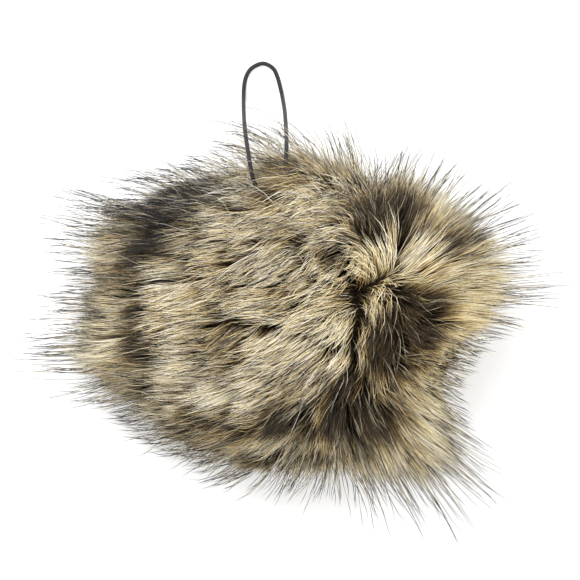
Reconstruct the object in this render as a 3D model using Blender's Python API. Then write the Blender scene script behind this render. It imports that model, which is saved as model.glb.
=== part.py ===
"""Faux-fur pom pom: a stuffed fur ball lying on its flat side, and the round elastic loop that
comes out of its gather.

Metres, +Z up. The origin is the middle of the flat spot that the ball rests on. The gather, where
the fur disc was drawn together and the elastic leaves the ball, faces +Y, and the ball is widest
along X. The ball is one closed solid: a lumpy backing with fewer than 300 three-sided locks of
fur, which stand apart but for their roots.
"""

import math
import random

import bmesh
import bpy
from mathutils import Vector, geometry, noise
from mathutils.bvhtree import BVHTree

# Backing of the fur ball, an uneven ellipsoid
BALL_WIDTH = 0.092  # along X
BALL_DEPTH = 0.078  # along Y
BALL_HEIGHT = 0.070  # along Z, before it settles on its own weight
BALL_CENTRE_Z = 0.0285
BALL_SUBDIVISIONS = 3  # 320 facets, each the root of one lock at most
LUMP_SIZE = 0.026
LUMP_HEIGHT = 0.0032
SETTLING = 0.002  # what lies lower than this is pressed up from the floor
PACKED_PILE = 0.0050  # the backing's top is raised by the pile that stands packed on it
PACKED_BAND = (0.044, 0.060)

# Crease that runs over the ball, seen from above
PARTING = (
    # x, y
    (0.028, 0.026),
    (0.020, 0.012),
    (0.013, -0.003),
    (0.004, -0.021),
    (0.000, -0.036),
)
PARTING_DENT = 0.0015
PARTING_WIDTH = 0.007

# Other hollows pressed into the ball
HOLLOWS = (
    # name, x, y, z, depth, width
    ("gather", -0.005, 0.037, 0.043, 0.0060, 0.010),
    ("valley", 0.034, 0.004, 0.053, 0.0050, 0.010),
    ("front fold", 0.012, -0.036, 0.042, 0.0030, 0.009),
    ("left fold", -0.036, -0.016, 0.046, 0.0025, 0.010),
)

# How the pile is combed on top: it lies towards these headings, in degrees from +X
COMBING = (
    # x, y, heading
    (-0.0468, 0.0346, 164.0),
    (-0.0364, 0.0385, 156.0),
    (-0.0260, 0.0398, 152.0),
    (-0.0156, 0.0398, 146.0),
    (-0.0091, 0.0416, 128.0),
    (0.0000, 0.0411, 126.0),
    (0.0083, 0.0380, 124.0),
    (0.0143, 0.0398, 104.0),
    (0.0177, 0.0372, 92.0),
    (0.0247, 0.0338, 66.0),
    (0.0325, 0.0346, 50.0),
    (0.0403, 0.0333, 38.0),
    (0.0026, 0.0276, -12.0),
    (0.0104, 0.0255, -22.0),
    (0.0169, 0.0213, -38.0),
    (0.0078, 0.0187, -18.0),
    (0.0143, 0.0146, -15.0),
    (0.0247, 0.0250, 66.0),
    (0.0244, 0.0182, 86.0),
    (0.0211, 0.0140, 104.0),
    (0.0291, 0.0198, 58.0),
    (0.0291, 0.0130, 42.0),
    (0.0364, 0.0268, 32.0),
    (0.0468, 0.0268, 28.0),
    (0.0369, 0.0177, 20.0),
    (0.0468, 0.0190, 20.0),
    (0.0577, 0.0242, 25.0),
    (0.0348, 0.0086, 3.0),
    (0.0455, 0.0086, 4.0),
    (0.0559, 0.0130, 8.0),
    (0.0299, 0.0016, -3.0),
    (0.0395, 0.0005, -4.0),
    (0.0499, -0.0010, -8.0),
    (0.0291, -0.0070, -16.0),
    (0.0390, -0.0088, -15.0),
    (0.0499, -0.0088, -14.0),
    (0.0177, 0.0047, -128.0),
    (0.0156, -0.0044, -124.0),
    (0.0099, -0.0114, -132.0),
    (0.0229, -0.0140, -38.0),
    (0.0161, -0.0218, -58.0),
    (0.0265, -0.0218, -42.0),
    (0.0364, -0.0218, -34.0),
    (0.0468, -0.0218, -24.0),
    (0.0135, -0.0296, -72.0),
    (0.0239, -0.0343, -60.0),
    (0.0364, -0.0343, -45.0),
    (0.0468, -0.0317, -34.0),
    (0.0109, -0.0411, -94.0),
    (0.0213, -0.0426, -76.0),
    (0.0338, -0.0452, -54.0),
    (0.0036, -0.0317, -122.0),
    (0.0000, -0.0411, -112.0),
    (-0.0088, -0.0359, -150.0),
    (-0.0130, -0.0278, -162.0),
    (-0.0234, -0.0322, -168.0),
    (-0.0338, -0.0278, -172.0),
    (-0.0447, -0.0234, -168.0),
    (-0.0234, -0.0400, -152.0),
    (-0.0364, -0.0369, -158.0),
    (-0.0494, -0.0070, -176.0),
    (-0.0494, 0.0073, 178.0),
    (-0.0494, 0.0203, 170.0),
    (-0.0403, 0.0281, 163.0),
    (-0.0234, -0.0083, -174.0),
    (-0.0091, -0.0083, -166.0),
    (0.0026, -0.0166, -140.0),
    (-0.0073, -0.0192, -156.0),
    (-0.0135, 0.0343, 165.0),
    (-0.0117, 0.0302, -165.0),
    (-0.0073, 0.0291, -95.0),
    (-0.0026, 0.0302, -30.0),
    (-0.0073, 0.0213, -100.0),
    (-0.0151, 0.0224, -150.0),
    (0.0005, 0.0213, -48.0),
    (-0.0221, 0.0242, 172.0),
    (-0.0013, 0.0120, -88.0),
    (-0.0104, 0.0120, -135.0),
    (0.0078, 0.0083, -68.0),
    (-0.0195, 0.0125, -172.0),
    (-0.0091, 0.0034, -150.0),
    (0.0026, 0.0016, -118.0),
    (-0.0234, 0.0047, 179.0),
    (0.0026, -0.0070, -138.0),
)
COMBING_BLEND = 0.0060
COMBED_BAND = (-0.16, 0.10)  # above and below the middle, as shares of the height
RIM_BAND = (0.62, 1.00)  # shares of the backing's plan over which the pile comes to lie over
TOP_LAY = 0.62  # how far the pile lies over on top, where it is 1 at the rim
LEAST_LAY = 0.85

# How far the dense pile stands out past the backing, seen from above
RIM_REACH = (
    # bearing in degrees from +X, reach
    (0.0, 0.0105),
    (20.0, 0.0130),
    (35.0, 0.0155),
    (50.0, 0.0145),
    (60.0, 0.0070),
    (67.0, 0.0035),
    (76.0, 0.0080),
    (90.0, 0.0080),
    (105.0, 0.0070),
    (120.0, 0.0100),
    (135.0, 0.0145),
    (146.0, 0.0155),
    (160.0, 0.0120),
    (178.0, 0.0105),
    (190.0, 0.0155),
    (201.0, 0.0110),
    (215.0, 0.0085),
    (230.0, 0.0090),
    (250.0, 0.0055),
    (270.0, 0.0050),
    (286.0, 0.0070),
    (300.0, 0.0115),
    (318.0, 0.0185),
    (334.0, 0.0090),
    (350.0, 0.0080),
    (360.0, 0.0105),
)

# Locks of fur
LOCK_INSET = 0.0012  # leaves a strip of backing between two roots
TOP_LENGTH = 0.0125
RIM_LENGTH = 0.0110  # a lock at the rim is this long, and as much more as the dense pile reaches
UNDER_LENGTH = 0.0070  # near the floor
LENGTH_SPREAD = 0.24  # share of the length, longer or shorter
UNDER_BAND = (0.004, 0.024)  # heights between which locks grow to the rim's length
TOP_BAND = (0.038, 0.058)  # heights between which they go over to the top's length
LOWEST_ROOT = 0.0042
SHORTEST_LOCK = 0.0050
CORNER_REACH = 0.62  # a root's corners from its middle, by the square root of its facet's area
LOCK_SECTIONS = (
    # share of the length, width there as a share of the root's
    (0.00, 1.00),
    (0.30, 0.72),
    (0.64, 0.42),
    (1.00, 0.10),
)
ROOT_RISE = 1.05  # how steeply a lock leaves the backing, beside how far it lies over
TIP_RISE = 0.40
START_LAY = 0.30
LAID_OVER = 0.022  # length along a lock at which it has lain over
UNDER_RISE = 0.45  # share of the downward rise that is left below the ball's middle
DROOP = 0.09
SWIRL = 0.30  # sideways sweep, in patches
SWIRL_SIZE = 0.030
LOCK_STEP = 0.0005
MAX_LOCKS = 300
TRIES = 30
CUT_BACK = 0.84  # a lock that crosses another is cut to this share of its length

# Elastic loop
ELASTIC_DIAMETER = 0.0011
ELASTIC_POINTS = 49
LOOP_CLEARANCE = 0.0005
CLEARANCE_POINTS = 6 * ELASTIC_POINTS  # where the locks' distance to the elastic is measured
LOOP_ROUTE = (
    # x, y, z of the middle of the elastic, from the gather out over the fur, along the
    # floor and back in
    (-0.0083, 0.0327, 0.0391),
    (-0.0098, 0.0370, 0.0414),
    (-0.0107, 0.0421, 0.0388),
    (-0.0114, 0.0465, 0.0315),
    (-0.0119, 0.0505, 0.0215),
    (-0.0122, 0.0543, 0.0110),
    (-0.0123, 0.0580, 0.0032),
    (-0.0122, 0.0612, 0.0008),
    (-0.0116, 0.0640, 0.00056),
    (-0.0101, 0.0662, 0.00056),
    (-0.0072, 0.0674, 0.00056),
    (-0.0046, 0.0662, 0.00056),
    (-0.0034, 0.0640, 0.00056),
    (-0.0026, 0.0611, 0.0008),
    (-0.0020, 0.0582, 0.0034),
    (-0.0014, 0.0545, 0.0112),
    (-0.0011, 0.0505, 0.0217),
    (-0.0009, 0.0464, 0.0315),
    (-0.0010, 0.0420, 0.0386),
    (-0.0014, 0.0372, 0.0409),
    (-0.0026, 0.0330, 0.0391),
)

# Colours, linear
FUR_BROWN = (0.30, 0.21, 0.13, 1.0)
ELASTIC_BLACK = (0.020, 0.020, 0.022, 1.0)


def clear_scene():
    for item in list(bpy.data.objects):
        bpy.data.objects.remove(item, do_unlink=True)


def material(name, colour, roughness):
    made = bpy.data.materials.new(name)
    made.use_nodes = True
    surface = made.node_tree.nodes["Principled BSDF"]
    surface.inputs["Base Color"].default_value = colour
    surface.inputs["Roughness"].default_value = roughness
    surface.inputs["Metallic"].default_value = 0.0
    return made


def smooth_step(low, high, value):
    share = min(max((value - low) / (high - low), 0.0), 1.0)
    return share * share * (3.0 - 2.0 * share)


def settled(point):
    """The point as the ball's weight leaves it: what would lie under the floor rests on it."""
    z = point.z
    if z <= -SETTLING:
        z = 0.0
    elif z < SETTLING:
        z = (z + SETTLING) ** 2 / (4.0 * SETTLING)
    return Vector((point.x, point.y, z))


def nearest_on_parting(point):
    flat = Vector((point.x, point.y, 0.0))
    best = None
    for (x0, y0), (x1, y1) in zip(PARTING, PARTING[1:]):
        start = Vector((x0, y0, 0.0))
        end = Vector((x1, y1, 0.0))
        on_line, share = geometry.intersect_point_line(flat, start, end)
        on_line = start.lerp(end, min(max(share, 0.0), 1.0))
        if best is None or (on_line - flat).length < (best - flat).length:
            best = on_line
    return best


def dent_depth(point):
    """How far the backing is pressed in at a point of its ellipsoid."""
    away = Vector((point.x, point.y, 0.0)) - nearest_on_parting(point)
    upward = smooth_step(0.0, 0.5, (point.z - BALL_CENTRE_Z) / (BALL_HEIGHT / 2))
    depth = PARTING_DENT * upward * math.exp(-((away.length / PARTING_WIDTH) ** 2))
    for _name, x, y, z, most, width in HOLLOWS:
        distance = (point - Vector((x, y, z))).length
        depth += most * math.exp(-((distance / width) ** 2))
    return depth


def backing_point(direction):
    """Where the backing lies in a unit direction from its middle, before it settles."""
    half = Vector((BALL_WIDTH, BALL_DEPTH, BALL_HEIGHT)) / 2
    centre = Vector((0.0, 0.0, BALL_CENTRE_Z))
    point = centre + direction * half
    lump = LUMP_HEIGHT * noise.noise(point / LUMP_SIZE)
    packed = PACKED_PILE * smooth_step(*PACKED_BAND, point.z)
    return point + direction * (lump + packed - dent_depth(point))


def level(angle):
    turned = math.radians(angle)
    return Vector((math.cos(turned), math.sin(turned), 0.0))


def combed(root):
    """The way in which the pile lies at a root, shorter where it stands up more."""
    outward = Vector((root.x / BALL_WIDTH, root.y / BALL_DEPTH, 0.0)) * 2
    combing = Vector()
    total = 0.0
    for x, y, heading in COMBING:
        distance = math.hypot(root.x - x, root.y - y) / COMBING_BLEND
        weight = math.exp(-(distance**2)) + 1e-6 / (1.0 + distance**2)
        combing += level(heading) * weight
        total += weight
    above = smooth_step(*COMBED_BAND, (root.z - BALL_CENTRE_Z) / BALL_HEIGHT)
    mixed = outward.normalized() * (1.0 - above) + combing * (above / total)
    rim = max(1.0 - above, smooth_step(*RIM_BAND, outward.length))
    lay = max(mixed.length, LEAST_LAY) * (TOP_LAY + (1.0 - TOP_LAY) * rim)
    return mixed.normalized() * lay


def rim_reach(root):
    """How far the dense pile stands out past the rim that a root faces."""
    bearing = math.degrees(math.atan2(root.y, root.x)) % 360.0
    for (start, first), (end, last) in zip(RIM_REACH, RIM_REACH[1:]):
        if bearing <= end:
            return first + (last - first) * smooth_step(start, end, bearing)
    return RIM_REACH[-1][1]


def full_length(root, chance):
    """Length of a lock that nothing hinders."""
    rim = RIM_LENGTH + rim_reach(root)
    length = rim + (TOP_LENGTH - rim) * smooth_step(*TOP_BAND, root.z)
    length = UNDER_LENGTH + (length - UNDER_LENGTH) * smooth_step(*UNDER_BAND, settled(root).z)
    return length * (1.0 + LENGTH_SPREAD * (2.0 * chance - 1.0))


def lock_line(root, length):
    """Points along a lock's middle, a step apart. A lock leaves the backing steeply and then
    lies over the way it is combed."""
    half = Vector((BALL_WIDTH, BALL_DEPTH, BALL_HEIGHT)) / 2
    out = root - Vector((0.0, 0.0, BALL_CENTRE_Z))
    out = Vector([out[axis] / half[axis] ** 2 for axis in range(3)]).normalized()
    if out.z < 0.0:
        out.z *= UNDER_RISE
    comb = combed(root)
    across = Vector((-comb.y, comb.x, 0.0)) * (SWIRL * noise.noise(root / SWIRL_SIZE))
    points = [root.copy()]
    for step in range(round(length / LOCK_STEP)):
        lain = min(step * LOCK_STEP / LAID_OVER, 1.0)
        laid = comb * (START_LAY + (1.0 - START_LAY) * lain)
        heading = out * (ROOT_RISE + (TIP_RISE - ROOT_RISE) * lain) + laid + across * lain
        heading.z -= DROOP * lain
        points.append(points[-1] + heading.normalized() * LOCK_STEP)
    return points


def lock_width(share):
    """Width of a lock there, as a share of its root's."""
    for (low, wide), (high, narrow) in zip(LOCK_SECTIONS, LOCK_SECTIONS[1:]):
        if share <= high:
            return wide + (narrow - wide) * (share - low) / (high - low)
    return LOCK_SECTIONS[-1][1]


def clear_line(root, length, root_radius, elastic):
    """A lock's line, with the lock made shorter until it clears the elastic, or None."""
    while length > SHORTEST_LOCK:
        line = lock_line(root, length)
        if not meets_loop(line, root_radius, elastic):
            return line
        length -= LOCK_STEP * 2
    return None


def meets_loop(line, root_radius, elastic):
    for index, point in enumerate(line):
        radius = root_radius * lock_width(index / (len(line) - 1))
        room = radius + ELASTIC_DIAMETER / 2 + LOOP_CLEARANCE
        resting = settled(point)
        if any((resting - place).length < room for place in elastic):
            return True
    return False


def loop_points(count):
    """The elastic's middle, read evenly from a smooth curve through its route."""
    last = len(LOOP_ROUTE) - 1
    points = []
    for step in range(count):
        place = last * step / (count - 1)
        index = min(int(place), last - 1)
        share = place - index
        p0, p1, p2, p3 = (
            Vector(LOOP_ROUTE[min(max(index + k, 0), last)]) for k in (-1, 0, 1, 2)
        )
        points.append(
            0.5
            * (
                2 * p1
                + (p2 - p0) * share
                + (2 * p0 - 5 * p1 + 4 * p2 - p3) * share**2
                + (3 * p1 - p0 - 3 * p2 + p3) * share**3
            )
        )
    return points


def backing():
    mesh = bmesh.new()
    bmesh.ops.create_icosphere(mesh, subdivisions=BALL_SUBDIVISIONS, radius=1.0)
    for vert in mesh.verts:
        vert.co = backing_point(vert.co.normalized())
    mesh.faces.ensure_lookup_table()
    return mesh


def drawn_out(lines):
    """The backing with a lock drawn out of each facet that has a line. Each point knows which
    facet its lock comes from."""
    mesh = backing()
    face_lock = mesh.faces.layers.int.new("lock")
    vert_lock = mesh.verts.layers.int.new("lock")
    for vert in mesh.verts:
        vert[vert_lock] = -1
    for face in mesh.faces:
        face[face_lock] = face.index
    grown = [face for face in mesh.faces if face.index in lines]
    bmesh.ops.inset_individual(mesh, faces=grown, thickness=LOCK_INSET, use_even_offset=True)
    before = 1.0
    for share, width in LOCK_SECTIONS:
        if share > 0.0:
            grown = bmesh.ops.extrude_discrete_faces(mesh, faces=grown)["faces"]
        for face in grown:
            middle = face.calc_center_median()
            line = lines[face[face_lock]]
            target = line[round(share * (len(line) - 1))] if share > 0.0 else middle
            for vert in face.verts:
                vert[vert_lock] = face[face_lock]
                vert.co = target + (vert.co - middle) * (width / before)
        before = width
    for vert in mesh.verts:
        vert.co = settled(vert.co)
    return mesh


def crossing_locks(mesh):
    """Pairs of locks of which one runs through the other. -1 stands for the backing."""
    cut = mesh.copy()
    bmesh.ops.triangulate(cut, faces=cut.faces)
    cut.faces.ensure_lookup_table()
    vert_lock = cut.verts.layers.int["lock"]
    tree = BVHTree.FromBMesh(cut)
    pairs = set()
    for first, second in tree.overlap(tree):
        one, other = cut.faces[first], cut.faces[second]
        if first < second and not set(one.verts) & set(other.verts):
            pairs.add(tuple(max(vert[vert_lock] for vert in face.verts) for face in (one, other)))
    cut.free()
    return pairs


def fur_ball():
    """The backing, with one lock drawn out of each facet that isn't near the floor."""
    rng = random.Random(11)
    elastic = loop_points(CLEARANCE_POINTS)
    plain = backing()
    roots = {}
    lengths = {}
    for face in plain.faces:
        root = face.calc_center_median()
        length = full_length(root, rng.random())
        if settled(root).z >= LOWEST_ROOT and len(roots) < MAX_LOCKS:
            roots[face.index] = (root, CORNER_REACH * math.sqrt(face.calc_area()))
            lengths[face.index] = length
    plain.free()

    lines = {}
    changed = set(roots)
    for _try in range(TRIES):
        for index in changed:
            root, corner = roots[index]
            line = clear_line(root, lengths[index], corner, elastic)
            if line:
                lines[index] = line
            else:
                lines.pop(index, None)
        mesh = drawn_out(lines)
        changed = set()
        for pair in crossing_locks(mesh):
            locks = [index for index in pair if index in lines]
            longest = max(locks, key=lambda index: len(lines[index]))
            changed.add(longest)
        if not changed:
            break
        for index in changed:
            lengths[index] = (len(lines[index]) - 1) * LOCK_STEP * CUT_BACK
        mesh.free()

    data = bpy.data.meshes.new("pom")
    mesh.to_mesh(data)
    mesh.free()
    data.materials.append(material("faux fur", FUR_BROWN, 0.85))
    ball = bpy.data.objects.new("pom", data)
    bpy.context.collection.objects.link(ball)
    return ball


def elastic_loop():
    """One length of round elastic, both of whose ends go into the gather."""
    curve = bpy.data.curves.new("loop", "CURVE")
    curve.dimensions = "3D"
    curve.bevel_depth = ELASTIC_DIAMETER / 2
    curve.bevel_resolution = 2
    curve.use_fill_caps = True
    spline = curve.splines.new("POLY")
    points = loop_points(ELASTIC_POINTS)
    spline.points.add(len(points) - 1)
    for target, point in zip(spline.points, points):
        target.co = (*point, 1.0)
    curve.materials.append(material("elastic", ELASTIC_BLACK, 0.6))
    loop = bpy.data.objects.new("loop", curve)
    bpy.context.collection.objects.link(loop)
    return loop


clear_scene()
fur_ball()
elastic_loop()
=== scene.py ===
"""Finish of the faux fur pom pom: its skin, its pile and its elastic loop.

The pom pom lies on its back and is seen from straight above. The pile is grown from the skin by
one geometry node tree, which reads how the pile is combed, how long it is and how light it is
from attributes that this script works out for every point of the skin.
"""

import math

import bmesh
import bpy
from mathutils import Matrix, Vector, geometry, noise


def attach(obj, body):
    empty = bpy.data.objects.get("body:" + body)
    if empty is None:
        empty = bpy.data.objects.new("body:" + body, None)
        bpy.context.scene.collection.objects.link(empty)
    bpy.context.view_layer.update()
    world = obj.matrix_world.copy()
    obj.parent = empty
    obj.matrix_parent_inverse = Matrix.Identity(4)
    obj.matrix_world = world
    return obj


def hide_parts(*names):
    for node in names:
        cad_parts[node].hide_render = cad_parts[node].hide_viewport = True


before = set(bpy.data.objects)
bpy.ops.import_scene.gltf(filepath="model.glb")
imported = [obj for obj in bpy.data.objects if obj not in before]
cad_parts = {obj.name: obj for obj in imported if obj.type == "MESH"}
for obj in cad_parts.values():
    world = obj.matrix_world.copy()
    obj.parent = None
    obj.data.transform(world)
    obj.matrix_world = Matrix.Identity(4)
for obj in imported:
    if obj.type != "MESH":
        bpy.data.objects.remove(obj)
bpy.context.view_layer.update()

# The picture: square, straight down, one pixel to this many metres
PICTURE_PIXELS = 580
PIXEL = 0.00026
PICTURE_MIDDLE = (0.0, 0.0073)
LENS = 400.0
SENSOR = 36.0
SUBJECT_HEIGHT = 0.034  # the height at which the scale holds

# Backing of the fur ball, as in the solid
BALL_WIDTH = 0.092
BALL_DEPTH = 0.078
BALL_HEIGHT = 0.070
BALL_CENTRE_Z = 0.0285
LUMP_SIZE = 0.026
LUMP_HEIGHT = 0.0032
SETTLING = 0.002
PARTING = (
    # x, y
    (0.028, 0.026),
    (0.020, 0.012),
    (0.013, -0.003),
    (0.004, -0.021),
    (0.000, -0.036),
)
PARTING_DENT = 0.0035
PARTING_WIDTH = 0.007
DENTED_BAND = (0.0, 0.5)  # shares of the half height over which the parting deepens
HOLLOWS = (
    # name, x, y, z, depth, width
    ("gather", -0.005, 0.037, 0.043, 0.0060, 0.010),
    ("valley", 0.034, 0.004, 0.053, 0.0050, 0.010),
    ("front fold", 0.012, -0.036, 0.042, 0.0030, 0.009),
    ("left fold", -0.036, -0.016, 0.046, 0.0025, 0.010),
)
SKIN_DEPTH = 0.0015  # the skin lies this far inside the solid's backing
SKIN_SUBDIVISIONS = 6
COMBED_BAND = (-0.34, -0.10)  # above and below the middle, as shares of the height
RIM_BAND = (0.62, 1.00)  # shares of the backing's plan over which the pile comes to lie over
TOP_LAY = 0.66  # how far the pile lies over on top, where it is 1 at the rim
LEAST_LAY = 0.85
UNDER_RISE = 0.45
SIDE_TURN = 1.0  # how far the comb makes up for the way in which the slope turns the pile
STRAND_END = (0.0125, 0.0110)  # how far out and how far along the comb a strand's end lies
END_NEARER = 0.30  # the share by which it lies nearer at the rim
RIM_HEIGHT = 0.30  # the rim's pile ends this share of the ball's height above its middle
MIDDLE_BAND = 0.01  # how far above and below the middle the top's pile turns into the underside's

# How the pile is combed on top: it lies towards these headings, in degrees from +X
COMBING = (
    # x, y, heading
    (-0.0468, 0.0346, 164.0),
    (-0.0364, 0.0385, 156.0),
    (-0.0260, 0.0398, 152.0),
    (-0.0156, 0.0398, 146.0),
    (-0.0091, 0.0416, 128.0),
    (0.0000, 0.0411, 126.0),
    (0.0083, 0.0380, 124.0),
    (0.0143, 0.0398, 104.0),
    (0.0177, 0.0372, 92.0),
    (0.0247, 0.0338, 66.0),
    (0.0325, 0.0346, 50.0),
    (0.0403, 0.0333, 38.0),
    (0.0026, 0.0276, 192.0),
    (0.0104, 0.0255, 178.0),
    (0.0169, 0.0213, 150.0),
    (0.0078, 0.0187, 184.0),
    (0.0143, 0.0146, 194.0),
    (0.0247, 0.0250, 66.0),
    (0.0244, 0.0182, 86.0),
    (0.0211, 0.0140, 100.0),
    (0.0217, 0.0112, 92.0),
    (0.0252, 0.0098, 40.0),
    (0.0264, 0.0040, -12.0),
    (0.0220, 0.0040, -118.0),
    (0.0172, 0.0075, -150.0),
    (0.0052, 0.0352, 142.0),
    (0.0000, 0.0362, 146.0),
    (0.0270, 0.0160, 68.0),
    (0.0274, 0.0215, 70.0),
    (0.0291, 0.0198, 58.0),
    (0.0291, 0.0130, 42.0),
    (0.0364, 0.0268, 32.0),
    (0.0468, 0.0268, 28.0),
    (0.0369, 0.0177, 20.0),
    (0.0468, 0.0190, 20.0),
    (0.0577, 0.0242, 25.0),
    (0.0348, 0.0086, 3.0),
    (0.0455, 0.0086, 4.0),
    (0.0559, 0.0130, 8.0),
    (0.0299, 0.0016, -3.0),
    (0.0395, 0.0005, -4.0),
    (0.0499, -0.0010, -8.0),
    (0.0291, -0.0070, -16.0),
    (0.0390, -0.0088, -15.0),
    (0.0499, -0.0088, -14.0),
    (0.0156, 0.0105, 204.0),
    (0.0196, 0.0047, -134.0),
    (0.0226, -0.0014, -122.0),
    (0.0202, -0.0070, -126.0),
    (0.0150, -0.0125, -132.0),
    (0.0268, -0.0030, -14.0),
    (0.0250, -0.0085, -30.0),
    (0.0200, -0.0150, -46.0),
    (0.0156, -0.0044, -124.0),
    (0.0099, -0.0114, -132.0),
    (0.0229, -0.0140, -38.0),
    (0.0161, -0.0218, -58.0),
    (0.0265, -0.0218, -42.0),
    (0.0364, -0.0218, -34.0),
    (0.0468, -0.0218, -24.0),
    (0.0135, -0.0296, -72.0),
    (0.0239, -0.0343, -60.0),
    (0.0364, -0.0343, -45.0),
    (0.0468, -0.0317, -34.0),
    (0.0109, -0.0411, -94.0),
    (0.0213, -0.0426, -76.0),
    (0.0338, -0.0452, -54.0),
    (0.0036, -0.0317, -122.0),
    (0.0000, -0.0411, -112.0),
    (-0.0088, -0.0359, -150.0),
    (-0.0130, -0.0278, -162.0),
    (-0.0234, -0.0322, -168.0),
    (-0.0338, -0.0278, -172.0),
    (-0.0447, -0.0234, -168.0),
    (-0.0234, -0.0400, -152.0),
    (-0.0364, -0.0369, -158.0),
    (-0.0494, -0.0070, -176.0),
    (-0.0494, 0.0073, 178.0),
    (-0.0494, 0.0203, 170.0),
    (-0.0403, 0.0281, 163.0),
    (-0.0234, -0.0083, -174.0),
    (-0.0091, -0.0083, -166.0),
    (0.0026, -0.0166, -140.0),
    (-0.0073, -0.0192, -156.0),
    (-0.0135, 0.0343, 160.0),
    (-0.0117, 0.0302, 168.0),
    (-0.0073, 0.0291, 168.0),
    (-0.0026, 0.0302, 166.0),
    (-0.0073, 0.0213, 184.0),
    (-0.0151, 0.0224, 180.0),
    (0.0005, 0.0213, 188.0),
    (-0.0221, 0.0242, 172.0),
    (-0.0013, 0.0120, 196.0),
    (-0.0104, 0.0120, 190.0),
    (0.0078, 0.0083, 206.0),
    (-0.0195, 0.0125, 184.0),
    (-0.0091, 0.0034, 196.0),
    (0.0026, 0.0016, 208.0),
    (-0.0234, 0.0047, 184.0),
    (0.0026, -0.0070, 214.0),
)
COMBING_BLEND = 0.0060

# Light and dark patches of the pile, seen from above, where the strands' ends lie. The dark patches in the
# valley and in the crease are partly the pile's own dark colour and partly painted shade of these hollows.
PATCHES = (
    # name, x, y, radius, lightness added
    ("black shoulder", -0.0350, 0.0350, 0.0088, -0.85),
    ("shoulder end", -0.0480, 0.0294, 0.0065, -0.12),
    ("dark band", -0.0360, 0.0215, 0.0055, -0.60),
    ("left wall", -0.0468, 0.0112, 0.0080, -0.25),
    ("left gold", -0.0507, -0.0018, 0.0052, 0.30),
    ("left knot", -0.0460, -0.0072, 0.0052, -0.75),
    ("left cream", -0.0565, -0.0083, 0.0055, 0.60),
    ("left lower", -0.0520, -0.0213, 0.0062, 0.10),
    ("bottom left dark", -0.0325, -0.0265, 0.0065, -0.35),
    ("bottom brown", -0.0195, -0.0295, 0.0055, -0.28),
    ("bottom left cream", -0.0148, -0.0358, 0.0052, 0.60),
    # The crease's dark patch is partly the pile's own dark colour and partly painted shade of the front
    # fold.
    ("crease", 0.0096, -0.0352, 0.0075, -1.25),
    ("bottom knot", 0.0010, -0.0372, 0.0045, -0.60),
    ("bottom gold", 0.0060, -0.0430, 0.0045, 0.45),
    # The valley's dark patches are partly the pile's own dark colour and partly painted shade of the hollow.
    ("valley", 0.0270, 0.0005, 0.0070, -0.90),
    ("valley head", 0.0350, 0.0075, 0.0066, -0.75),
    ("valley right", 0.0393, -0.0015, 0.0078, -0.80),
    ("valley foot", 0.0213, -0.0070, 0.0060, -0.85),
    ("right rim", 0.0490, 0.0085, 0.0060, 0.25),
    ("right cream", 0.0550, -0.0030, 0.0060, 0.32),
    ("crown", 0.0222, 0.0128, 0.0062, 1.30),
    ("golden fan", 0.0430, 0.0165, 0.0070, 0.25),
    ("fan streaks", 0.0489, 0.0235, 0.0055, -0.35),
    ("upper fan", 0.0377, 0.0235, 0.0050, 0.30),
    ("cleft foot", 0.0290, 0.0218, 0.0045, 0.45),
    ("dark cleft", 0.0222, 0.0292, 0.0050, -0.85),
    ("brown patch", 0.0255, 0.0348, 0.0058, -0.80),
    ("brown patch right", 0.0338, 0.0352, 0.0060, -0.78),
    ("top lobe", 0.0160, 0.0380, 0.0045, -0.45),
    ("top right cream", 0.0430, 0.0375, 0.0050, 0.30),
    ("lower right brown", 0.0328, -0.0112, 0.0085, -0.75),
    ("lower slope", 0.0276, -0.0205, 0.0070, -0.28),
    ("lower right dark", 0.0150, -0.0225, 0.0072, -0.75),
    ("lower middle brown", 0.0236, -0.0328, 0.0068, -0.68),
    ("bottom cream", 0.0290, -0.0405, 0.0055, 0.25),
    ("bottom right cream", 0.0425, -0.0278, 0.0080, 0.40),
    ("corner cream", 0.0465, -0.0375, 0.0075, 0.45),
    ("pale wall", 0.0120, -0.0100, 0.0058, 0.40),
    ("streaks", 0.0092, 0.0150, 0.0050, -0.35),
    ("light lock", 0.0030, 0.0285, 0.0050, 0.22),
    ("light ridge", 0.0175, 0.0262, 0.0030, 0.10),
    ("lock foot", -0.0100, 0.0295, 0.0040, -0.25),
    ("top tan", -0.0130, 0.0370, 0.0045, 0.15),
    ("top brown", 0.0045, 0.0390, 0.0060, 0.05),
    ("gather brown", -0.0060, 0.0425, 0.0050, -0.25),
    ("tuft side", 0.0268, 0.0182, 0.0042, 0.40),
    ("front knots", -0.0080, -0.0308, 0.0060, -0.75),
    ("rim tan", -0.0215, 0.0400, 0.0045, 0.30),
    ("golden band", 0.0120, 0.0208, 0.0042, 0.10),
    ("upper streaks", 0.0125, 0.0295, 0.0055, -0.60),
    ("gather", -0.0052, 0.0350, 0.0065, -0.40),
    ("streaks right", 0.0168, 0.0228, 0.0045, -0.35),
    ("upper wall", 0.0062, -0.0025, 0.0062, 0.60),
    ("crown wall", 0.0075, 0.0065, 0.0050, 0.40),
    # The valley's end and tip are partly the pile's own dark colour and partly painted shade of the hollow.
    ("valley end", 0.0440, -0.0052, 0.0056, -0.62),
    ("fan root", 0.0335, 0.0200, 0.0048, 0.55),
    ("valley tip", 0.0470, -0.0005, 0.0055, -0.30),
    ("left band", -0.0440, 0.0185, 0.0050, -0.45),
    ("beside gold", -0.0468, -0.0010, 0.0038, -0.50),
    ("top light", 0.0095, 0.0395, 0.0045, 0.35),
    ("crown foot", 0.0165, 0.0000, 0.0048, 0.48),
    ("light fan", 0.0205, -0.0262, 0.0045, 0.38),
)
MEAN_LIGHTNESS = 0.56
MOTTLES = (
    # size, strength
    (0.013, 0.40),
    (0.0055, 0.30),
)

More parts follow.
